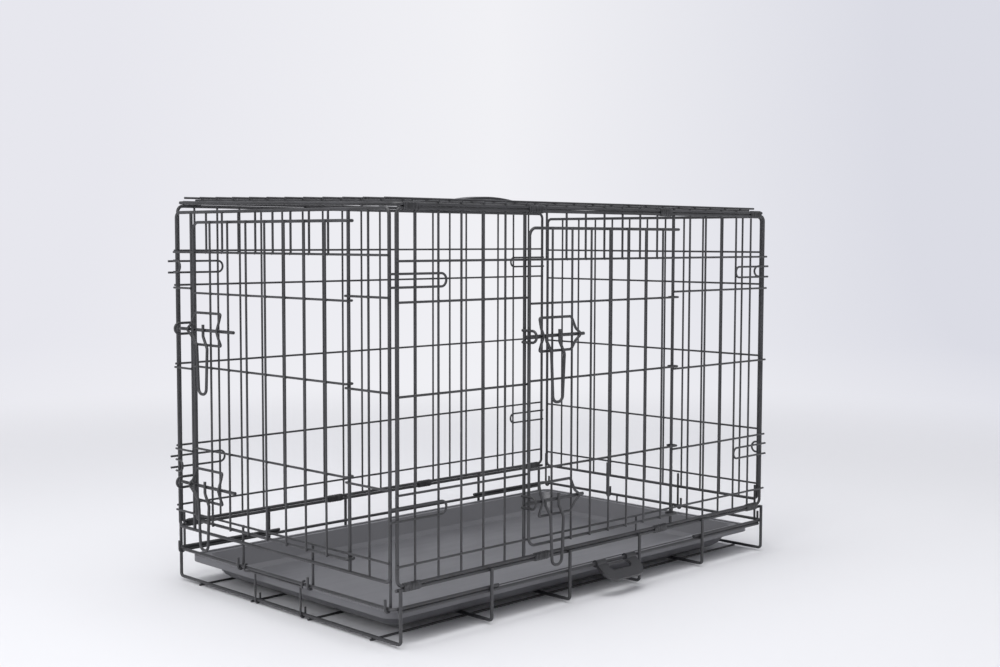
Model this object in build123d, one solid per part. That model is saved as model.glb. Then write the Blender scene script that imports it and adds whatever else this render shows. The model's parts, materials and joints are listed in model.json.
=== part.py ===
# A folding wire pet crate with two doors, a plastic floor pan and carrying handles.
# Origin: middle of the crate on the floor. +X runs along the crate to the plain end,
# +Y from the long side with the door to the plain long side, +Z up. Millimetres.
from build123d import *
from math import acos, atan, cos, degrees, pi, radians, sin, tan
import os

# Overall sizes, between the centres of the frame rods
side_length = 750.0
crate_width = 472.0
side_bottom = 75.2
side_top = 525.4
far_rise = 9.0
end_plane_gap = 6.0

# Wire sizes
rod = 2.25
wire = 1.5
bar = 1.4
pull_wire = 2.0
guide_wire = 1.8
hook_wire = 1.75
frame_bend = 8.0
weld = 0.02
slip = 0.25

# Grid of a long side
side_pitch = 38.2
side_shift = -3.5
half_bays = 9
side_door_bays = 4
side_lintel_drop = 62.4
side_levels = {"lintel": side_top - side_lintel_drop, "high": 414.3, "middle": 302.6, "low": 185.5, "sill": 99.8}
sill_wires = (-83.0, 69.5)

# Grid of an end
end_pitch = 38.5
end_half_bays = 6
near_end_edge_gap = 5.9
far_end_edge_gap = 8.2
end_bottom_rise = 4.8
end_top_drop = 0.2
end_bottom = side_bottom + end_bottom_rise
end_top = side_top - end_top_drop
end_lintel_drop = 55.2
end_levels = {"lintel": end_top - end_lintel_drop, "high": 420.0, "middle": 307.6, "low": 191.6, "sill": 104.2}
end_latch_bay = 5
end_hinge_bay = -4
end_hooks = (-226.0, -74.0, 80.0, 226.0)
hook_rise = 12.0
wire_past = 2.0

# Doors: heights of their rails and their own grid
side_door_top_drop = 21.9
end_door_top_drop = 14.2
side_door_rails = {"top": side_top - side_door_top_drop, "high": 406.5, "middle": 306.5, "low": 191.0, "bottom": 91.5}
end_door_rails = {"top": end_top - end_door_top_drop, "high": 414.3, "middle": 313.0, "low": 199.0, "bottom": 97.5}
side_latch_post = -158.5
side_door_edge = -157.5
side_door_bars = 7
end_door_edge = 175.0
end_door_pitch = 42.0
end_door_first = 129.5
end_door_bars = 7
door_rod = 2.0
door_gap = 0.55
door_bend = 11.0

# Catch loops at the corners
catch_heights = (440.0, 162.5)
end_catch_heights = (450.0, 168.0)
catch_half = 8.0
catch_reach = {-1: 14.0, 1: 8.0}
catch_inboard = 76.0
small_catch_depth = 14.0

# Slide bolts
latch_heights = (364.6, 149.6)
bolt = 2.25
side_bolt_past = 11.5
end_bolt_past = 6.5
side_bolt_run = 109.0
end_bolt_run = 130.0
handle_drop = 87.0
side_pull_place = 54.0
end_pull_place = 60.7
handle_top_half = 12.5
handle_end_half = 9.0
handle_stub = 8.0
handle_step = 9.5
guide_up = 23.5
guide_down = 20.0
guide_near = 24.0
guide_far = 85.0
guide_tip = 14.0
guide_pinch = 3.0
keeper_half = 7.5
keeper_past = 2.5
keeper_wire = 1.75

# Base
rail_low = 43.5
rail_high = 70.4
end_rail_out = 0.25
end_rail_leg = 176.0
end_rail_bend = 7.5
foot_inner = (-221.0, -73.5, 73.5, 221.0)
foot_bend = 5.0
floor_wires = (-188.0, -63.0, 63.0, 188.0)
floor_wire_past = 3.5
stop_posts = (-62.0, 58.0)
clip_bore_gap = 0.15
clip_wall = 0.6
clip_rib = 0.35
clip_rib_pitch = 5.0
clip_length = 27.0
base_clips = (-352.4, -125.5, 124.0, 352.0)
far_base_clips = (-352.4, -98.0, 90.0, 352.0)
top_clips = (-352.0, -139.0, 130.2, 352.0)

# Pan
pan_length = 745.0
pan_width = 444.0
pan_wall = 2.4
pan_rim = 16.0
pan_lip = 8.5
pan_taper = 14.0
pan_top = 39.5
pan_seat = 0.3
pan_corner = 20.0
pan_foot_rise = 5.5
pan_foot_in = 8.0
pan_step = 6.0

# Pan stop
stop_centre = 2.0
stop_curl = 9.0
stop_half = 50.0
stop_past = 14.0

# Top
top_end = 374.0
top_long_wires = 12
top_long_pitch = 39.3
top_wire_past = 2.5
snap_clip_leg = 3.6

# Carrying handles
grip_thick = 4.0
top_handle_width = 24.0
top_handle_place = 0.0
top_handle_rise = 9.0
base_handle_centre = 24.0
base_handle_half = 41.0
base_handle_reach = 34.0
base_handle_droop = 38.0
base_handle_slot = 12.0
handle_wall = 2.6

half_length = side_length / 2
half_width = crate_width / 2
end_plane = half_length + end_plane_gap
lap = rod + wire
foot_z = 2 * wire + rod
top_z = side_top + 2 * rod + 0.3
cross_z = top_z + lap
long_z = cross_z + 2 * wire
leg_z = rail_low + 2 * rod
end_rail_x = end_plane + end_rail_out
foot_y = half_width + 2 * rod
foot_end = end_rail_x - 2 * lap
foot_places = (-foot_end, *foot_inner, foot_end)


class Wall:
    """One upright side of the crate: u runs along it, d outwards from its frame, z up."""

    def __init__(self, along, sign, plane):
        self.along = along
        self.sign = sign
        self.plane = plane

    def at(self, u, d, z):
        out = self.sign * (self.plane + d)
        return (u, out, z) if self.along == "x" else (out, u, z)


near_side = Wall("x", -1, half_width)
far_side = Wall("x", 1, half_width)
near_end = Wall("y", -1, end_plane)
far_end = Wall("y", 1, end_plane)


def straight(a, b, r):
    a = Vector(*a)
    b = Vector(*b)
    return Solid.make_cylinder(r, (b - a).length, Plane(origin=a, z_dir=b - a))


def bend_edges(points, bends, closed=False):
    """Lines and tangent arcs through the points; bends holds one radius for each corner."""
    pts = [Vector(*p) for p in points]
    n = len(pts)
    corners = range(n) if closed else range(1, n - 1)
    radii = bends if isinstance(bends, (list, tuple)) else [bends] * len(corners)
    edges = []
    ends = []
    for i, r in zip(corners, radii):
        u = (pts[i - 1] - pts[i]).normalized()
        v = (pts[(i + 1) % n] - pts[i]).normalized()
        t = r * tan((pi - acos(max(-1, min(1, u.dot(v))))) / 2)
        ends.append((pts[i] + u * t, u * -1, pts[i] + v * t))
    start = ends[-1][2] if closed else pts[0]
    for a, direction, b in ends:
        if (a - start).length > 1e-4:
            edges.append(Edge.make_line(start, a))
        edges.append(Edge.make_tangent_arc(a, direction, b))
        start = b
    if not closed and (pts[-1] - start).length > 1e-4:
        edges.append(Edge.make_line(start, pts[-1]))
    return edges


def pipe(path, r):
    """Round wire along one edge or a chain of edges."""
    section = Plane(origin=path @ 0, z_dir=path % 0) * Circle(r)
    return sweep(section, path=path).solid()


def runs(points, bends, r, closed=False):
    """A long bent rod as its straight lengths and its elbows, which meet face to face."""
    return [pipe(e, r) for e in bend_edges(points, bends, closed)]


def bent(points, bends, r):
    """A short bent wire as one piece."""
    return pipe(Wire(bend_edges(points, bends)), r)


def ring_frame(wall, u0, u1, z0, z1, d=0.0):
    corners = [wall.at(u0, d, z0), wall.at(u1, d, z0), wall.at(u1, d, z1), wall.at(u0, d, z1)]
    return runs(corners, frame_bend, rod, closed=True)


def hairpin(wall, tip, closed_end, z, half, d, r):
    """A long U of wire: two prongs and a round closed end."""
    points = [
        wall.at(tip, d, z + half),
        wall.at(closed_end, d, z + half),
        wall.at(closed_end, d, z - half),
        wall.at(tip, d, z - half),
    ]
    return bent(points, half - 0.01, r)


def side_columns():
    return [side_shift + side_pitch * k for k in range(-half_bays, half_bays + 1)]


def end_columns():
    return [end_pitch * k for k in range(1 - end_half_bays, end_half_bays)]


opening_latch = side_latch_post
opening_hinge = side_shift + side_pitch * side_door_bays
end_opening_latch = end_pitch * end_latch_bay
end_opening_hinge = end_pitch * end_hinge_bay
grid_d = rod - wire


def column(wall, u, z0, z1, r=wire):
    """An upright that butts on the rods below and above it."""
    return straight(wall.at(u, rod - r, z0), wall.at(u, rod - r, z1), r)


def at_clip(u, clips):
    return any(abs(u - c) < clip_length / 2 + wire + slip for c in clips)


def panel(wall, columns, levels, bottom, top, edge, opening=None, clips=((), ())):
    """Uprights and cross wires of a wall, round its door opening if it has one.
    An upright that meets a hinge clip stops just short of it."""
    low = bottom + rod + weld
    high = top - rod - weld
    short = clip_outer + slip
    uprights = []
    posts = []
    cross = []
    past = rod + wire_past
    for u in columns:
        if opening is None or not opening[0] - lap < u < opening[1] + lap:
            start = bottom + short if at_clip(u, clips[0]) else low
            end = top - short if at_clip(u, clips[1]) else high
            uprights.append(column(wall, u, start, end))
        elif opening[0] + lap < u < opening[1] - lap:
            uprights.append(column(wall, u, levels["lintel"] - lap + rod, high))
    if opening is not None:
        posts = [column(wall, u, low, high, rod) for u in opening]
    for name, z in levels.items():
        if opening is None or name in ("lintel", "sill"):
            spans = [(-edge - past, edge + past)]
        else:
            spans = [(-edge - past, opening[0] + rod), (opening[1] - rod, edge + past)]
        for a, b in spans:
            cross.append(straight(wall.at(a, lap + weld, z), wall.at(b, lap + weld, z), wire))
    return uprights, posts, cross


def clip(x, y, z_low, z_high, length=clip_length):
    """A ribbed sheet-metal sleeve round two rods that lie one over the other."""
    bore = rod + clip_bore_gap
    middle = (z_low + z_high) / 2

    def sleeve(r, long, offset):
        height = z_high - z_low + 2 * r
        plane = Plane(origin=(x + offset, y, middle), x_dir=(0, 0, 1), z_dir=(1, 0, 0))
        return extrude(plane * SlotOverall(height, 2 * r), amount=long / 2, both=True)

    body = sleeve(bore + clip_wall, length, 0)
    count = int(length / clip_rib_pitch)
    for i in range(count):
        offset = (i - (count - 1) / 2) * clip_rib_pitch
        body += sleeve(bore + clip_wall + clip_rib, clip_rib_pitch / 2.5, offset)
    body -= sleeve(bore, length + 2, 0)
    return body.solid()


clip_outer = rod + clip_bore_gap + clip_wall + clip_rib
door_d = lap + wire + door_gap + door_rod
bar_d = door_d + door_rod + wire + weld
bolt_out = bar_d + wire + 0.35 + bolt
guide_out = bar_d + wire + guide_wire + weld
guide_over = bolt_out + bolt + 0.35 + guide_wire
grip_out = bolt_out + bolt + pull_wire + weld


def door(wall, edge, hinge, toward_latch, rails, bars):
    """A door: C frame whose ends wrap the hinge post, cross rails that wrap it, upright bars."""
    t = toward_latch
    def wrap(z, r):
        reach = rod + slip + r
        return [
            wall.at(hinge + t * 22.0, door_d + door_rod - r, z),
            wall.at(hinge - t * reach, door_d + door_rod - r, z),
            wall.at(hinge - t * reach, -reach, z),
            wall.at(hinge + t * reach, -reach, z),
        ]

    lead = hinge + t * 22.0
    frame = runs(
        [
            wall.at(lead, door_d, rails["top"]),
            wall.at(edge, door_d, rails["top"]),
            wall.at(edge, door_d, rails["bottom"]),
            wall.at(lead, door_d, rails["bottom"]),
        ],
        door_bend,
        door_rod,
    )
    loops = [bent(wrap(rails[n], door_rod), [4.0, 4.0], door_rod) for n in ("top", "bottom")]
    cross = []
    for name in ("high", "middle", "low"):
        d = door_d + door_rod - wire
        z = rails[name]
        cross.append(straight(wall.at(edge + t * -door_rod, d, z), wall.at(lead, d, z), wire))
        loops.append(bent(wrap(z, wire), [4.0, 4.0], wire))
    low = rails["bottom"] - door_rod
    high = rails["top"] + door_rod
    uprights = [straight(wall.at(u, bar_d, low), wall.at(u, bar_d, high), wire) for u in bars]
    return frame, cross, uprights, loops


def keeper(wall, post, away, z):
    """A thick staple on the far side of the opening's post, round the bolt's tip."""
    place = post - away * (rod + keeper_wire)
    out = bolt_out + keeper_half + keeper_past
    points = [
        wall.at(place, 0.0, z + keeper_half),
        wall.at(place, out, z + keeper_half),
        wall.at(place, out, z - keeper_half),
        wall.at(place, 0.0, z - keeper_half),
    ]
    return bent(points, keeper_half - 0.01, keeper_wire)


def guide(wall, tip, away, z, flip):
    """The bent wire on the door that holds the bolt: a ring that is pinched over the bolt on
    one side and pointed over it on the other. flip turns the point to the post."""
    near = tip + away * (guide_far + guide_tip if flip else guide_near)
    far = tip + away * (guide_near + guide_tip if flip else guide_far)
    way = -away if flip else away
    up = z + guide_up
    down = z - guide_down
    middle = (near + far) / 2
    points = [
        wall.at(middle - way * 0.1, guide_out, down),
        wall.at(near, guide_out, down),
        wall.at(near - way * 2.0, guide_over, z - 10.0),
        wall.at(near + way * guide_pinch, guide_over, z),
        wall.at(near - way * 2.0, guide_over, z + 10.0),
        wall.at(near, guide_out, up),
        wall.at(far, guide_out, up),
        wall.at(far + way * 3.0, guide_over, z + 8.0),
        wall.at(far + way * guide_tip, guide_over, z),
        wall.at(far + way * 3.0, guide_over, z - 8.0),
        wall.at(far, guide_out, down),
        wall.at(middle + way * 0.1, guide_out, down),
    ]
    return bent(points, [3.5, 4.0, 3.0, 4.0, 3.5, 3.5, 3.5, 3.0, 3.5, 3.5], guide_wire)


def bolt_rod(wall, tip, away, z, run):
    return straight(wall.at(tip, bolt_out, z), wall.at(tip + away * run, bolt_out, z), bolt)


def bolt_handle(wall, middle, toward, z):
    """A hairpin pull that hangs from the bolt. Its legs step away from the bolt's tip, which
    lies toward the latch post."""
    inner = middle + toward * handle_top_half
    outer = middle - toward * handle_top_half
    step = toward * handle_step
    points = [
        wall.at(inner + step, grip_out, z + 2.0),
        wall.at(inner + step, grip_out, z - 6.0),
        wall.at(inner, grip_out, z - 21.0),
        wall.at(middle + toward * handle_end_half, grip_out, z - handle_drop),
        wall.at(middle - toward * handle_end_half, grip_out, z - handle_drop),
        wall.at(outer, grip_out, z - 24.0),
        wall.at(outer + step, grip_out, z - 8.0),
        wall.at(outer + step, grip_out, z + handle_stub),
    ]
    return bent(points, [5.0, 8.0, 8.4, 8.4, 8.0, 5.0], pull_wire)


def long_side(wall, rise, opening, clips):
    levels = {name: z + rise for name, z in side_levels.items()}
    bottom = side_bottom + rise
    upper = side_top + rise
    uprights, posts, cross = panel(
        wall, side_columns(), levels, bottom, upper, half_length, opening, clips
    )
    frame = ring_frame(wall, -half_length, half_length, bottom, upper)
    loops = []
    for sign in (-1, 1):
        tip = sign * (half_length + catch_reach[sign])
        closed_end = sign * (half_length - catch_inboard)
        for z in catch_heights:
            loops.append(hairpin(wall, tip, closed_end, z + rise, catch_half, lap + weld, wire))
    return frame, posts, uprights, cross, loops


def end_wall(wall, opening, latch_side, edge_gap):
    half = half_width - edge_gap
    uprights, posts, cross = panel(
        wall, end_columns(), end_levels, end_bottom, end_top, half, opening
    )
    cross = [
        straight(wall.at(a, lap + weld, z), wall.at(b, lap + weld, z), wire)
        for a, b, z in end_spans(opening, half)
    ]
    frame = ring_frame(wall, -half, half, end_bottom, end_top)
    hooks = [end_hook(wall, u) for u in end_hooks]
    loops = []
    for z in end_catch_heights if latch_side > 0 else catch_heights:
        edge = latch_side * (half + rod)
        deep = latch_side * (half - small_catch_depth)
        loops.append(hairpin(wall, edge, deep, z, catch_half, lap + weld, wire))
    return frame, posts, uprights, cross, hooks, loops


def end_spans(opening, half):
    """Cross wires of an end, which stop flush with its frame so that it can fold in."""
    edge = half + rod
    spans = []
    for name, z in end_levels.items():
        if opening is None or name in ("lintel", "sill"):
            spans.append((-edge, edge, z))
        else:
            spans.append((-edge, opening[0] + rod, z))
            spans.append((opening[1] - rod, edge, z))
    return spans


def end_hook(wall, u):
    """A J of wire inside the frame, which curls under the end rail and up outside it."""
    reach = rod + slip + hook_wire
    inside = end_rail_out - reach
    outside = end_rail_out + reach
    points = [
        wall.at(u, inside, end_levels["sill"] - wire),
        wall.at(u, inside, leg_z - reach),
        wall.at(u, outside, leg_z - reach),
        wall.at(u, outside, leg_z + hook_rise),
    ]
    return bent(points, reach - 0.01, hook_wire)


def base():
    """Rails, end rails, feet and floor wires, welded together."""
    reach = half_length + rod
    long_rails = []
    for sign in (-1, 1):
        y = sign * half_width
        high = rail_high + (far_rise if sign > 0 else 0)
        long_rails.append(straight((-reach, y, high), (reach, y, high), rod))
        low = half_length - 3.0
        long_rails.append(straight((-low, y, rail_low), (low, y, rail_low), rod))
    end_rails = []
    for sign in (-1, 1):
        x = sign * end_rail_x
        inner = x - sign * end_rail_leg
        y = half_width
        points = [(inner, -y, leg_z), (x, -y, leg_z), (x, y, leg_z), (inner, y, leg_z)]
        end_rails += runs(points, end_rail_bend, rod)
    feet = []
    top = rail_high + rod
    for x in foot_places:
        far_top = top + far_rise
        points = [(x, -foot_y, top), (x, -foot_y, foot_z), (x, foot_y, foot_z), (x, foot_y, far_top)]
        feet += runs(points, foot_bend, rod)
    reach = foot_places[-1] + floor_wire_past
    floor = [straight((-reach, y, wire), (reach, y, wire), wire) for y in floor_wires]
    post_x = foot_end + lap + weld / 2
    posts = [straight((post_x, y, foot_z), (post_x, y, leg_z + rod), wire) for y in stop_posts]
    return long_rails, end_rails, feet, floor, posts


def pan():
    """A moulded tray: a coved foot, sloped walls, a stepped rim and a turned-down lip."""
    floor_z = foot_z + rod + pan_seat
    rim_in = pan_rim
    wall_in = pan_rim + pan_taper
    foot_in = wall_in + pan_foot_in

    def plate(inset, z, corner):
        size = (pan_length - 2 * inset, pan_width - 2 * inset)
        return Plane.XY.offset(z) * RectangleRounded(*size, corner)

    def bowl(shrink, low, foot, high):
        """The tray's body, or its hollow when shrunk by the wall."""
        corner = pan_corner - shrink
        body = loft([plate(foot_in + shrink, low, corner - 4), plate(wall_in + shrink, foot, corner)])
        return body + loft([plate(wall_in + shrink, foot, corner), plate(rim_in + shrink, high, corner)])

    core = bowl(0, floor_z, floor_z + pan_foot_rise, pan_top - pan_wall)
    rim = extrude(plate(0, pan_top - pan_lip, pan_corner), amount=pan_lip)
    below = plate(pan_wall, pan_top - pan_lip - 1, pan_corner - pan_wall)
    under = extrude(below, amount=pan_lip + 1 - pan_wall)
    body = core + (rim - (under - core))
    body -= bowl(pan_wall, floor_z + pan_wall, floor_z + pan_foot_rise + pan_wall, pan_top + 0.01)
    step = extrude(plate(pan_step, pan_top - 1.0, pan_corner - 3), amount=2.0)
    step -= extrude(plate(pan_step + 5.0, pan_top - 1.5, pan_corner - 6), amount=3.0)
    body -= step
    return body.solid()


def pan_stop():
    """A wire gate hooked on the end foot and over the end rail, which keeps the pan in."""
    x = foot_places[0]
    reach = rod + bar + 0.1
    post_x = x - reach
    bar_z = leg_z - rod - bar - 0.3
    pieces = []
    for sign in (-1, 1):
        y = stop_centre + sign * stop_half
        points = [
            (post_x, y, bar_z + bar),
            (post_x, y, foot_z - reach),
            (x + reach, y, foot_z - reach),
            (x + reach, y, foot_z + stop_curl),
        ]
        pieces.append(bent(points, reach - 0.01, bar))
    end = stop_half + stop_past
    out_x = -end_rail_x - rod - bar - 0.3
    over_z = leg_z + rod + bar + 0.9
    points = [
        (-end_rail_x + 0.5, stop_centre - end, over_z),
        (out_x, stop_centre - end, over_z),
        (out_x, stop_centre - end, bar_z),
        (post_x - 2 * bar, stop_centre - end + 9.0, bar_z),
        (post_x - 2 * bar, stop_centre + end - 9.0, bar_z),
        (out_x, stop_centre + end, bar_z),
        (out_x, stop_centre + end, over_z),
        (-end_rail_x + 0.5, stop_centre + end, over_z),
    ]
    pieces.append(bent(points, [2.0, 2.0, 3.0, 3.0, 2.0, 2.0], bar))
    return pieces


def tilted(solids):
    """Turn the roof about its near rod, because the far side stands a little higher."""
    near_rod = Axis((0, -half_width, top_z), (1, 0, 0))
    return [s.rotate(near_rod, degrees(atan(far_rise / crate_width))) for s in solids]


def top():
    """The roof: a rod frame, cross wires over it and long wires over those."""
    y = half_width
    corners = [(-top_end, -y, top_z), (top_end, -y, top_z), (top_end, y, top_z), (-top_end, y, top_z)]
    frame = runs(corners, frame_bend, rod, closed=True)
    z = cross_z + weld
    past = y + top_wire_past
    short = y - clip_outer - slip
    cross = []
    for x in side_columns():
        reach = short if at_clip(x, top_clips) else past
        cross.append(straight((x, -reach, z), (x, reach, z), wire))
    z = long_z + 2 * weld
    places = [top_long_pitch * (k - (top_long_wires - 1) / 2) for k in range(top_long_wires)]
    reach = top_end + rod
    long_wires = [straight((-reach, v, z), (reach, v, z), wire) for v in places]
    return frame, cross, long_wires


def snap_clip(x):
    """A clip on the roof's far rod, open below, that presses on the far side's top rod."""
    y = half_width
    bore = rod + clip_bore_gap
    outer = bore + clip_wall
    plane = Plane(origin=(x, y, top_z), x_dir=(0, 1, 0), z_dir=(1, 0, 0))
    body = extrude(plane * Circle(outer), amount=clip_length / 2, both=True)
    legs = plane * Pos(0, -snap_clip_leg / 2) * Rectangle(2 * outer, snap_clip_leg)
    body += extrude(legs, amount=clip_length / 2, both=True)
    gap = plane * Pos(0, -snap_clip_leg / 2 - 1) * Rectangle(2 * bore, snap_clip_leg + 2)
    body -= extrude(gap, amount=clip_length, both=True)
    body -= extrude(plane * Circle(bore), amount=clip_length, both=True)
    return body.solid()


def top_handle():
    """A strap grip whose ends are moulded round two of the roof's cross wires."""
    first = side_shift - 2 * side_pitch
    last = side_shift + 2 * side_pitch
    middle = (first + last) / 2
    bore = wire + 0.1
    outer = bore + handle_wall
    z = cross_z + weld
    half = top_handle_width / 2
    plane = Plane(origin=(0, top_handle_place, 0), x_dir=(1, 0, 0), z_dir=(0, -1, 0))
    rise = z + outer - grip_thick / 2
    start = (first + outer - 1.2, rise)
    end = (last - outer + 1.2, rise)
    arch = Edge.make_three_point_arc(
        Vector(start[0], 0, start[1]), Vector(middle, 0, rise + top_handle_rise), Vector(end[0], 0, end[1])
    )
    arch = arch.moved(Location((0, top_handle_place, 0)))
    section = Plane(origin=arch @ 0, x_dir=(0, 1, 0), z_dir=arch % 0) * RectangleRounded(
        top_handle_width, grip_thick, 1.5
    )
    body = sweep(section, path=arch)
    for x in (first, last):
        body += extrude(plane * Pos(x, z) * Circle(outer), amount=half, both=True)
    for x in (first, last):
        body -= extrude(plane * Pos(x, z) * Circle(bore), amount=top_handle_width, both=True)
    return body.solid()


def base_handle():
    """A drop handle whose two ends turn on the near lower rail."""
    y = -half_width
    bore = rod + slip
    outer = bore + handle_wall
    lean = radians(base_handle_droop)
    out = (0, -cos(lean), -sin(lean))
    plane = Plane(origin=(base_handle_centre, y, rail_low), x_dir=(1, 0, 0), z_dir=(0, -sin(lean), cos(lean)))
    half = base_handle_half
    reach = base_handle_reach
    sign = -1 if plane.y_dir.dot(Vector(*out)) < 0 else 1
    shape = Pos(0, sign * reach / 2) * Rectangle(2 * half, reach)
    body = extrude(plane * shape, amount=grip_thick / 2, both=True)
    far_edges = body.edges().filter_by(lambda e: abs(plane.to_local_coords(e.center()).Y) > reach - 1e-3)
    far_edges = far_edges.filter_by(lambda e: abs(e.length - grip_thick) < 1e-3)
    body = fillet(far_edges, 20.0)
    slot_long = 2 * half - 38.0
    near_slot = outer + 1.0
    slot = Pos(0, sign * (near_slot + base_handle_slot / 2)) * SlotOverall(slot_long, base_handle_slot)
    body -= extrude(plane * slot, amount=grip_thick, both=True)
    axis = Plane(origin=(base_handle_centre, y, rail_low), z_dir=(1, 0, 0))
    for side in (-1, 1):
        ring = extrude(axis * Circle(outer), amount=9.5, both=True)
        body += Pos(side * (half - 9.5), 0, 0) * ring
    middle = extrude(axis * Circle(outer + 0.6), amount=half - 19.0, both=True)
    body -= middle
    body -= extrude(axis * Circle(bore), amount=half + 5.0, both=True)
    return body.solid()


def save(name, pieces):
    pieces = pieces if isinstance(pieces, (list, tuple)) else [pieces]
    shape = pieces[0] if len(pieces) == 1 else Compound(children=list(pieces))
    export_step(shape, f"parts/{name}.step")


os.makedirs("parts", exist_ok=True)

long_rails, end_rails, feet, floor, posts = base()
save("base_long_rails", long_rails)
save("base_end_rails", end_rails)
save("base_feet", feet)
save("base_floor_wires", floor)
save("base_pan_posts", posts)
save("pan", pan())
save("pan_stop", pan_stop())
save("base_carry_handle", base_handle())

for name, wall, rise, clips, opening in (
    ("near_side", near_side, 0.0, base_clips, (opening_latch, opening_hinge)),
    ("far_side", far_side, far_rise, far_base_clips, None),
):
    held = (clips, top_clips if opening else ())
    frame, door_posts, uprights, cross, loops = long_side(wall, rise, opening, held)
    save(f"{name}_frame", frame)
    save(f"{name}_uprights", uprights)
    save(f"{name}_cross_wires", cross)
    save(f"{name}_catch_loops", loops)
    y = wall.sign * half_width
    low = rail_high + rise
    save(f"{name}_base_clips", [clip(x, y, low, side_bottom + rise) for x in clips])
    if opening:
        sill = side_levels["sill"] - lap + rod
        low = side_bottom + rod + weld
        save(f"{name}_opening_posts", door_posts)
        save(f"{name}_sill_wires", [column(wall, u, low, sill + wire) for u in sill_wires])
        save(f"{name}_keepers", [keeper(wall, opening[0], 1, z) for z in latch_heights])
        save("top_hinge_clips", [clip(x, y, side_top, top_z) for x in top_clips])

for name, wall, opening, latch_side, edge_gap in (
    ("near_end", near_end, (end_opening_hinge, end_opening_latch), 1, near_end_edge_gap),
    ("far_end", far_end, None, -1, far_end_edge_gap),
):
    frame, door_posts, uprights, cross, hooks, loops = end_wall(wall, opening, latch_side, edge_gap)
    save(f"{name}_frame", frame)
    save(f"{name}_uprights", uprights)
    save(f"{name}_cross_wires", cross)
    save(f"{name}_rail_hooks", hooks)
    save(f"{name}_catch_loops", loops)
    if opening:
        save(f"{name}_opening_posts", door_posts)
        save(f"{name}_keepers", [keeper(wall, opening[1], -1, z) for z in latch_heights])

side_bars = [side_shift + side_pitch * (k - 3) for k in range(side_door_bars)]
end_bars = [end_door_first - end_door_pitch * k for k in range(end_door_bars)]
for name, wall, edge, hinge, toward, rails, bars, tip, run, pull in (
    ("side_door", near_side, side_door_edge, opening_hinge, -1, side_door_rails, side_bars,
     opening_latch - side_bolt_past, side_bolt_run, side_pull_place),
    ("end_door", near_end, end_door_edge, end_opening_hinge, 1, end_door_rails, end_bars,
     end_opening_latch + end_bolt_past, end_bolt_run, end_pull_place),
):
    frame, cross, uprights, loops = door(wall, edge, hinge, toward, rails, bars)
    save(f"{name}_frame", frame)
    save(f"{name}_cross_wires", cross)
    save(f"{name}_uprights", uprights)
    save(f"{name}_hinge_loops", loops)
    guides = [guide(wall, tip, -toward, z, toward > 0) for z in latch_heights]
    save(f"{name}_bolt_guides", guides)
    for place, z in zip(("upper", "lower"), latch_heights):
        save(f"{name}_{place}_bolt", bolt_rod(wall, tip, -toward, z, run))
        save(f"{name}_{place}_pull", bolt_handle(wall, tip - toward * pull, toward, z))

frame, cross, long_wires = top()
save("top_frame", tilted(frame))
save("top_cross_wires", tilted(cross))
save("top_long_wires", tilted(long_wires))
save("top_snap_clips", tilted([snap_clip(x) for x in top_clips]))
save("top_carry_handle", tilted([top_handle()]))
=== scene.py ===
# %% [markdown]
# # A folding wire pet crate
# The crate's wires, rods, clips and plastic pieces come from the CAD frame at their true
# size and place. This lesson gives them their finishes, adds the small things that a
# photograph shows and a plain solid lacks, and then lights the crate in a white studio.

# %% The frame
import json
from math import atan2, cos, pi, radians, sin

import bmesh
import bpy
from mathutils import Matrix, Vector


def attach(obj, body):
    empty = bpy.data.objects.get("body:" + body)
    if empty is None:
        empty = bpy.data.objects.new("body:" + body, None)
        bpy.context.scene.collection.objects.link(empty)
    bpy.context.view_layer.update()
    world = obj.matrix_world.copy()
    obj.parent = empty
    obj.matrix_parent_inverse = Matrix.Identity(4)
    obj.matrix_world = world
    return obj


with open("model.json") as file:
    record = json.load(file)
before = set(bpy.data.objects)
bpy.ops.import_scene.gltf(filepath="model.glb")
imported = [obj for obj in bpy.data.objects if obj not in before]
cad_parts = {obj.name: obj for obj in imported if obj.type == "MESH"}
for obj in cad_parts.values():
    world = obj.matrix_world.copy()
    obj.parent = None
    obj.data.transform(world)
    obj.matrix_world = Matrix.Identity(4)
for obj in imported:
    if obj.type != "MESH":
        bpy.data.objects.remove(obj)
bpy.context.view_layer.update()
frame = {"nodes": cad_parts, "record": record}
MM = 0.001

# %% [markdown]
# ## The camera
# The photograph looks at the near corner from a little below the roof's height, with one
# long side and one end in view. The place, the angle and the lens were found from the crossings of
# the wires, so the camera is built from those numbers rather than aimed by eye.

# %% The camera
def look_from(place, yaw, pitch, roll, lens):
    yaw, pitch, roll = radians(yaw), radians(pitch), radians(roll)
    ahead = Vector((cos(yaw) * cos(pitch), sin(yaw) * cos(pitch), sin(pitch)))
    right = ahead.cross(Vector((0, 0, 1))).normalized()
    up = right.cross(ahead)
    side = right * cos(roll) + up * sin(roll)
    top = up * cos(roll) - right * sin(roll)
    data = bpy.data.cameras.new("studio_camera")
    data.lens = lens
    data.sensor_width = 36
    data.clip_end = 50
    camera = bpy.data.objects.new("studio_camera", data)
    turn = Matrix((side, top, -ahead)).transposed().to_4x4()
    camera.matrix_world = Matrix.Translation(Vector(place)) @ turn
    bpy.context.scene.collection.objects.link(camera)
    bpy.context.scene.camera = camera
    return camera


camera = look_from((-1.4301, -1.4642, 0.4883), 45.027, -3.898, 0.139, 49.53)
print("camera at", tuple(round(v, 3) for v in camera.location))

# %% [markdown]
# ## Helpers for finishes
# Paint charts give colours as sRGB hex, but a renderer adds light in linear values, so one
# function turns the first into the second. A second function adds a node, sets it up and
# links it, which keeps each finish short enough to read as a recipe.

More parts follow.
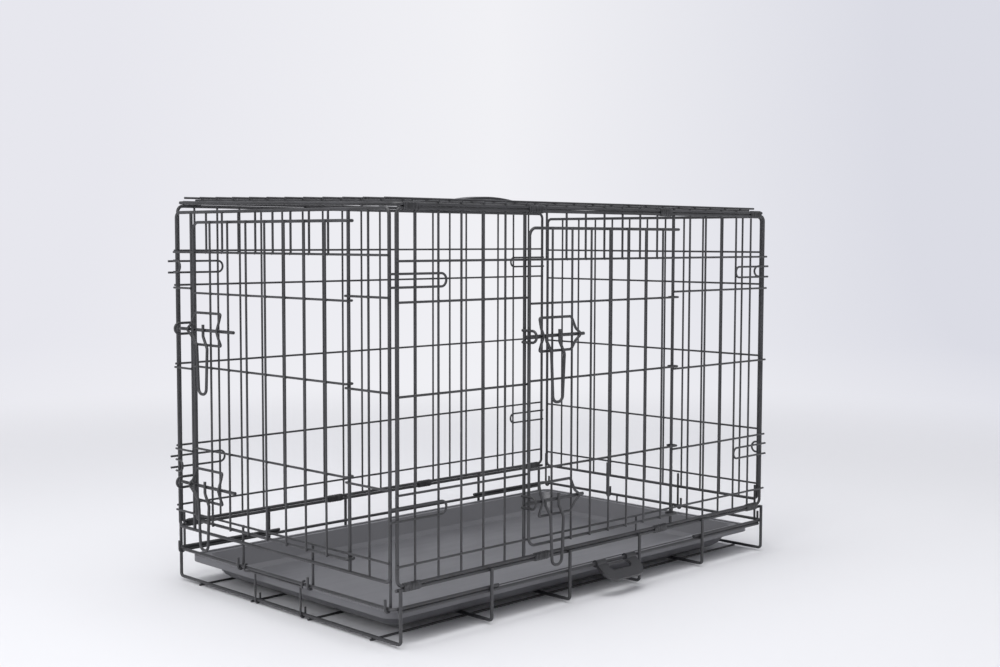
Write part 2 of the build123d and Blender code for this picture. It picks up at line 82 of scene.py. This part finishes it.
# %% Helpers for finishes
def linear(hex_colour):
    channels = [int(hex_colour[i : i + 2], 16) / 255 for i in (1, 3, 5)]
    values = [c / 12.92 if c <= 0.04045 else ((c + 0.055) / 1.055) ** 2.4 for c in channels]
    return (*values, 1.0)


def add_node(tree, kind, settings=None, inputs=None, links=None):
    """A node with its settings, its socket values and its incoming links."""
    node = tree.nodes.new(kind)
    for name, value in (settings or {}).items():
        setattr(node, name, value)
    for name, value in (inputs or {}).items():
        node.inputs[name].default_value = value
    for name, socket in (links or {}).items():
        tree.links.new(socket, node.inputs[name])
    return node


def new_finish(name):
    material = bpy.data.materials.new(name)
    material.use_nodes = True
    tree = material.node_tree
    tree.nodes.clear()
    place = add_node(tree, "ShaderNodeTexCoord")
    return material, tree, place.outputs["Object"]


def close_finish(tree, shader):
    add_node(tree, "ShaderNodeOutputMaterial", links={"Surface": shader.outputs[0]})


def per_mm(size):
    """The texture scale whose features are about this many millimetres across."""
    return 1 / (size * MM)


# %% [markdown]
# ## Black electrocoat on drawn wire
# The wire is low-carbon steel, welded up bare and then dipped in a black epoxy bath that an
# electric current draws onto it. The coat is thin and even, so it follows the metal: the eye
# sees a satin black with faint orange peel, a little greyer where the coat is thin or dusty.

# %% Black electrocoat on drawn wire
def electrocoat():
    material, tree, place = new_finish("black_electrocoat_on_steel_wire")
    cloud = add_node(tree, "ShaderNodeTexNoise", inputs={"Scale": per_mm(45), "Detail": 4.0},
                     links={"Vector": place})
    colour = add_node(tree, "ShaderNodeValToRGB", links={"Fac": cloud.outputs["Fac"]})
    colour.color_ramp.elements[0].position = 0.35
    colour.color_ramp.elements[0].color = linear("#2c2c2e")
    colour.color_ramp.elements[1].position = 0.70
    colour.color_ramp.elements[1].color = linear("#3b3b3e")
    # Peel is really about 0.5 mm across; 1.6 mm is the finest that shows at this distance.
    peel = add_node(tree, "ShaderNodeTexNoise", inputs={"Scale": per_mm(1.6), "Detail": 2.0},
                    links={"Vector": place})
    bump = add_node(tree, "ShaderNodeBump", inputs={"Strength": 0.25, "Distance": 0.08 * MM},
                    links={"Height": peel.outputs["Fac"]})
    gloss = add_node(tree, "ShaderNodeMapRange", inputs={"To Min": 0.34, "To Max": 0.52},
                     links={"Value": peel.outputs["Fac"]})
    shader = add_node(tree, "ShaderNodeBsdfPrincipled", inputs={"IOR": 1.52},
                      links={"Base Color": colour.outputs["Color"], "Normal": bump.outputs["Normal"],
                             "Roughness": gloss.outputs["Result"]})
    close_finish(tree, shader)
    return material


wire_finish = electrocoat()
print("finish:", wire_finish.name)

# %% [markdown]
# ## Coated sheet clips
# The hinge clips are strips of thin steel rolled round two rods and pinched into ribs. They
# get the same coat as the wire, but it pools between the ribs and rubs thin on their tops,
# so the finish is a shade darker with broader changes of gloss.

# %% Coated sheet clips
def rubbed_coat():
    material, tree, place = new_finish("black_electrocoat_on_rolled_sheet")
    rub = add_node(tree, "ShaderNodeTexNoise", inputs={"Scale": per_mm(6), "Detail": 5.0},
                   links={"Vector": place})
    colour = add_node(tree, "ShaderNodeValToRGB", links={"Fac": rub.outputs["Fac"]})
    colour.color_ramp.elements[0].position = 0.40
    colour.color_ramp.elements[0].color = linear("#262628")
    colour.color_ramp.elements[1].position = 0.72
    colour.color_ramp.elements[1].color = linear("#444447")
    bump = add_node(tree, "ShaderNodeBump", inputs={"Strength": 0.3, "Distance": 0.1 * MM},
                    links={"Height": rub.outputs["Fac"]})
    gloss = add_node(tree, "ShaderNodeMapRange", inputs={"To Min": 0.30, "To Max": 0.48},
                     links={"Value": rub.outputs["Fac"]})
    shader = add_node(tree, "ShaderNodeBsdfPrincipled", inputs={"IOR": 1.52},
                      links={"Base Color": colour.outputs["Color"], "Normal": bump.outputs["Normal"],
                             "Roughness": gloss.outputs["Result"]})
    close_finish(tree, shader)
    return material


clip_finish = rubbed_coat()
print("finish:", clip_finish.name)

# %% [markdown]
# ## Moulded polypropylene
# The pan is pressed from black polypropylene in a mould that was spark-eroded, which leaves
# a fine leathery grain. It is matt from above, but at a low angle it mirrors the pale room
# softly. Its floor looks mid grey partly through that reflection and partly through painted
# reflection: the base colour is raised from black to a mid grey. Faint scuffs break that up.

# %% Moulded polypropylene
def pan_plastic():
    material, tree, place = new_finish("black_polypropylene_with_painted_reflection")
    cloud = add_node(tree, "ShaderNodeTexNoise", inputs={"Scale": per_mm(120), "Detail": 3.0},
                     links={"Vector": place})
    # Painted reflection: the black plastic gets a mid-grey base colour, standing in for its sheen of
    # the pale room.
    colour = add_node(tree, "ShaderNodeValToRGB", links={"Fac": cloud.outputs["Fac"]})
    colour.color_ramp.elements[0].position = 0.3
    colour.color_ramp.elements[0].color = linear("#58585c")
    colour.color_ramp.elements[1].position = 0.75
    colour.color_ramp.elements[1].color = linear("#646468")
    # The spark grain is about 0.3 mm; it is drawn at 0.9 mm so that it shows.
    grain = add_node(tree, "ShaderNodeTexNoise", inputs={"Scale": per_mm(0.9), "Detail": 3.0},
                     links={"Vector": place})
    long_way = add_node(tree, "ShaderNodeMapping", inputs={"Scale": (0.12, 1.0, 1.0)},
                        links={"Vector": place})
    scuff = add_node(tree, "ShaderNodeTexNoise", inputs={"Scale": per_mm(14), "Detail": 6.0},
                     links={"Vector": long_way.outputs["Vector"]})
    bump = add_node(tree, "ShaderNodeBump", inputs={"Strength": 0.18, "Distance": 0.06 * MM},
                    links={"Height": grain.outputs["Fac"]})
    gloss = add_node(tree, "ShaderNodeMapRange", inputs={"To Min": 0.30, "To Max": 0.42},
                     links={"Value": scuff.outputs["Fac"]})
    shader = add_node(tree, "ShaderNodeBsdfPrincipled", inputs={"IOR": 1.49},
                      links={"Base Color": colour.outputs["Color"], "Normal": bump.outputs["Normal"],
                             "Roughness": gloss.outputs["Result"]})
    close_finish(tree, shader)
    return material


pan_finish = pan_plastic()
print("finish:", pan_finish.name)

# %% [markdown]
# ## Moulded grips
# The two carrying handles are polyethylene, which takes a smoother and waxier surface than
# the pan. Hands polish it, so the gloss varies over a centimetre or two.

# %% Moulded grips
def grip_plastic():
    material, tree, place = new_finish("black_moulded_polyethylene_grip")
    hands = add_node(tree, "ShaderNodeTexNoise", inputs={"Scale": per_mm(16), "Detail": 3.0},
                     links={"Vector": place})
    colour = add_node(tree, "ShaderNodeValToRGB", links={"Fac": hands.outputs["Fac"]})
    colour.color_ramp.elements[0].color = linear("#2a2a2c")
    colour.color_ramp.elements[1].color = linear("#343437")
    grain = add_node(tree, "ShaderNodeTexNoise", inputs={"Scale": per_mm(0.8), "Detail": 2.0},
                     links={"Vector": place})
    bump = add_node(tree, "ShaderNodeBump", inputs={"Strength": 0.2, "Distance": 0.05 * MM},
                    links={"Height": grain.outputs["Fac"]})
    gloss = add_node(tree, "ShaderNodeMapRange", inputs={"To Min": 0.28, "To Max": 0.44},
                     links={"Value": hands.outputs["Fac"]})
    shader = add_node(tree, "ShaderNodeBsdfPrincipled", inputs={"IOR": 1.51},
                      links={"Base Color": colour.outputs["Color"], "Normal": bump.outputs["Normal"],
                             "Roughness": gloss.outputs["Result"]})
    close_finish(tree, shader)
    return material


grip_finish = grip_plastic()
print("finish:", grip_finish.name)

# %% [markdown]
# ## Finishes on the CAD pieces
# Each CAD piece names a material slot in the part's record. The finish goes onto the piece's
# own material slots, and its mesh is left alone.

# %% Finishes on the CAD pieces
finishes = {
    "black_coated_wire": wire_finish,
    "black_sheet_clip": clip_finish,
    "black_moulded_tray": pan_finish,
    "black_plastic_grip": grip_finish,
}
slot_of = {s["node"]: s["material_slot"] for s in frame["record"]["subparts"]}
for node_name, piece in frame["nodes"].items():
    if not piece.material_slots:
        piece.data.materials.append(None)
    for slot in piece.material_slots:
        slot.material = finishes[slot_of[node_name]]
print("finished pieces:", len(slot_of))

# %% [markdown]
# ## Weld nuggets
# Every crossing of two wires is a resistance weld: the machine squeezes the wires and the
# current melts a little steel out round the touching point. Under the coat that shows as a
# small soft nugget in each corner of the crossing. One low sphere, pressed flat between the
# wires, does for each, and all the nuggets of one moving panel are a single mesh.

# %% The grid that the nuggets sit on
side_shift, side_pitch, end_pitch = -3.5, 38.2, 38.5
side_grid = [side_shift + side_pitch * k for k in range(-9, 10)]
side_levels = (463.0, 414.3, 302.6, 185.5, 99.8)
side_posts = (-158.5, 149.3)
end_grid = [end_pitch * k for k in range(-5, 6)]
end_levels = (470.0, 420.0, 307.6, 191.6, 104.2)
end_posts = (-154.0, 192.5)
half_width, end_plane, far_rise = 236.0, 381.0, 9.0
# How far outside a frame's plane the two layers of wire touch, on a wall and on a door.
grid_touch, door_touch = 2.26, 9.81
nugget_wide, nugget_flat = 2.05, 1.15
near_post = 4


def nuggets(name, body, spots, thin):
    """Pressed weld nuggets; thin is the axis across the two wires."""
    mesh = bmesh.new()
    size = [nugget_wide] * 3
    size["xyz".index(thin)] = nugget_flat
    scale = Matrix.Diagonal((*(v * MM for v in size), 1))
    for spot in spots:
        place = Matrix.Translation(Vector(spot) * MM) @ scale
        bmesh.ops.create_uvsphere(mesh, u_segments=8, v_segments=5, radius=1.0, matrix=place)
    for face in mesh.faces:
        face.smooth = True
    data = bpy.data.meshes.new(name)
    mesh.to_mesh(data)
    mesh.free()
    data.materials.append(wire_finish)
    piece = bpy.data.objects.new(name, data)
    bpy.context.scene.collection.objects.link(piece)
    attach(piece, body)
    print(name, len(spots), "welds")
    return piece


# %% [markdown]
# ### The four walls
# A wall's uprights and cross wires touch on one plane just outside the frame rods. Each
# crossing that the wall really has gets its nugget, so the opening has only those along its
# lintel.

# %% Nuggets on the four walls
def wall_crossings(grid, posts, levels):
    """Crossings of a wall with a door opening between its two posts. A grid place that
    falls on a post has no upright, and the opening has its uprights over the lintel only."""
    for u in grid:
        if min(abs(u - post) for post in posts) < near_post:
            continue
        inside = posts[0] < u < posts[1]
        for z in levels[:1] if inside else levels:
            yield u, z
    for u in posts:
        for z in levels:
            yield u, z


near_y, far_y = -half_width - grid_touch, half_width + grid_touch
nuggets("near_side_welds", "near_side",
        [(u, near_y, z) for u, z in wall_crossings(side_grid, side_posts, side_levels)], "y")
nuggets("far_side_welds", "far_side",
        [(u, far_y, z + far_rise) for u in side_grid for z in side_levels], "y")
near_x, far_x = -end_plane - grid_touch, end_plane + grid_touch
nuggets("near_end_welds", "near_end",
        [(near_x, u, z) for u, z in wall_crossings(end_grid, end_posts, end_levels)], "x")
nuggets("far_end_welds", "far_end", [(far_x, u, z) for u in end_grid for z in end_levels], "x")

# %% [markdown]
# ### The doors and the roof
# A door's uprights lie over its rails, and the roof's long wires lie over its cross wires,
# so both touch on a plane of their own.

# %% Nuggets on the doors and the roof
first_end_bar, end_bar_pitch = 129.5, 42.0
side_bars = [side_shift + side_pitch * k for k in range(-3, 4)]
side_rails = (503.5, 406.5, 306.5, 191.0, 91.5)
nuggets("side_door_welds", "side_door",
        [(u, -half_width - door_touch, z) for u in side_bars for z in side_rails], "y")
end_bars = [first_end_bar - end_bar_pitch * k for k in range(7)]
end_rails = (511.0, 414.3, 313.0, 199.0, 97.5)
nuggets("end_door_welds", "end_door",
        [(-end_plane - door_touch, u, z) for u in end_bars for z in end_rails], "x")

roof_rod_height, roof_touch_height, roof_pitch = 530.2, 535.48, 39.3


def on_roof(x, y, z):
    """The roof leans about its near rod, because the far side stands a little higher."""
    pivot = Vector((0, -half_width, roof_rod_height))
    lean = Matrix.Rotation(atan2(far_rise, 2 * half_width), 3, "X")
    return pivot + lean @ (Vector((x, y, z)) - pivot)


roof_rows = [roof_pitch * (k + 0.5) for k in range(-6, 6)]
nuggets("roof_welds", "roof",
        [on_roof(x, y, roof_touch_height) for x in side_grid for y in roof_rows], "z")

# %% [markdown]
# ## The studio
# The crate stands on white paper that curves up behind it. One sheet with a soft bend makes
# both, so there is no line where the floor ends. It is stage, not object.

# %% The studio
def paper_sweep():
    mesh = bmesh.new()
    width, front, back, bend, height = 9.0, -4.0, 4.2, 1.6, 4.5
    start = mesh.verts.new((-width, front, 0))
    end = mesh.verts.new((width, front, 0))
    edge = mesh.edges.new((start, end))
    floor = bmesh.ops.extrude_edge_only(mesh, edges=[edge])["geom"]
    moved = [g for g in floor if isinstance(g, bmesh.types.BMVert)]
    bmesh.ops.translate(mesh, verts=moved, vec=(0, back - front, 0))
    last = [g for g in floor if isinstance(g, bmesh.types.BMEdge)]
    bent = bmesh.ops.spin(mesh, geom=moved + last, cent=(0, back, bend), axis=(1, 0, 0), dvec=(0, 0, 0),
                          angle=pi / 2, steps=24, use_merge=False)["geom_last"]
    last = [g for g in bent if isinstance(g, bmesh.types.BMEdge)]
    wall = bmesh.ops.extrude_edge_only(mesh, edges=last)["geom"]
    moved = [g for g in wall if isinstance(g, bmesh.types.BMVert)]
    bmesh.ops.translate(mesh, verts=moved, vec=(0, 0, height))
    turn = Matrix.Rotation(radians(-45), 4, "Z")
    bmesh.ops.transform(mesh, matrix=turn, verts=mesh.verts)
    bmesh.ops.recalc_face_normals(mesh, faces=mesh.faces)
    data = bpy.data.meshes.new("paper_sweep")
    mesh.to_mesh(data)
    mesh.free()
    for face in data.polygons:
        face.use_smooth = True
    sweep = bpy.data.objects.new("paper_sweep", data)
    bpy.context.scene.collection.objects.link(sweep)
    return sweep


# The tones that the camera sees: on the floor, and left, middle and right far away, where the change
# from left to right is a painted light falloff on glowing paper.
floor_seen = "#dcdcdf"
painted_falloff_tones = ("#e7e7ee", "#f1f1f5", "#dbdce5")
picture_right = (0.707, -0.707, 0.0)
half_span, fade_start, fade_end = 2.2, 0.8, 2.6


def paper():
    """White paper. Only where the camera looks straight at it, it is toned like the
    photograph: the floor a little down, and the far paper glows a pale grey with a painted light
    falloff, lightest in the middle and darkest on the right."""
    real_white, first_colour, second_colour, mixed_colour = "#f3f3f6", 6, 7, 2
    material, tree, place = new_finish("white_studio_paper")
    ray = add_node(tree, "ShaderNodeLightPath").outputs["Is Camera Ray"]
    sheet = add_node(tree, "ShaderNodeMix", {"data_type": "RGBA"}, links={0: ray})
    sheet.inputs[first_colour].default_value = linear(real_white)
    sheet.inputs[second_colour].default_value = linear(floor_seen)
    near = add_node(tree, "ShaderNodeBsdfPrincipled", inputs={"Roughness": 0.9},
                    links={"Base Color": sheet.outputs[mixed_colour]})
    across = add_node(tree, "ShaderNodeVectorMath", {"operation": "DOT_PRODUCT"},
                      links={0: place})
    across.inputs[1].default_value = picture_right
    span = add_node(tree, "ShaderNodeMapRange",
                    inputs={"From Min": -half_span, "From Max": half_span},
                    links={"Value": across.outputs["Value"]})
    # Painted light falloff: the far paper glows a pale grey, lightest in the middle, a little darker on
    # the left and darkest on the right.
    tone = add_node(tree, "ShaderNodeValToRGB", links={"Fac": span.outputs["Result"]})
    tone.color_ramp.elements[0].color = linear(painted_falloff_tones[0])
    tone.color_ramp.elements[1].color = linear(painted_falloff_tones[2])
    tone.color_ramp.elements.new(0.5).color = linear(painted_falloff_tones[1])
    far = add_node(tree, "ShaderNodeEmission", links={"Color": tone.outputs["Color"]})
    away = add_node(tree, "ShaderNodeVectorMath", {"operation": "LENGTH"}, links={0: place})
    fade = add_node(tree, "ShaderNodeMapRange", {"interpolation_type": "SMOOTHSTEP"},
                    inputs={"From Min": fade_start, "From Max": fade_end},
                    links={"Value": away.outputs["Value"]})
    share = add_node(tree, "ShaderNodeMath", {"operation": "MULTIPLY"},
                     links={0: fade.outputs["Result"], 1: ray})
    shader = add_node(tree, "ShaderNodeMixShader",
                      links={0: share.outputs[0], 1: near.outputs[0], 2: far.outputs[0]})
    close_finish(tree, shader)
    return material


sweep = paper_sweep()
sweep.data.materials.append(paper())
print("studio:", sweep.name)

# %% [markdown]
# ## The light
# A wide softbox overhead and a weaker one from the left give the even, nearly shadowless
# light of a product picture. The white room around them fills the shadows.

# %% The light
def soft_lamp(name, place, target, size, watts):
    data = bpy.data.lights.new(name, "AREA")
    data.shape = "DISK"
    data.size = size
    data.energy = watts
    lamp = bpy.data.objects.new(name, data)
    lamp.location = place
    lamp.rotation_euler = (Vector(target) - Vector(place)).to_track_quat("-Z", "Y").to_euler()
    bpy.context.scene.collection.objects.link(lamp)
    return lamp


soft_lamp("overhead_softbox", (-0.4, -0.2, 2.9), (0, 0, 0.2), 2.6, 62)
soft_lamp("left_softbox", (-2.6, -0.6, 1.6), (0, 0, 0.3), 1.8, 22)
world = bpy.data.worlds.new("white_room")
world.use_nodes = True
room = world.node_tree.nodes["Background"]
room.inputs["Color"].default_value = linear("#f6f7fb")
room.inputs["Strength"].default_value = 0.62
bpy.context.scene.world = world
bpy.context.scene.view_settings.view_transform = "Standard"
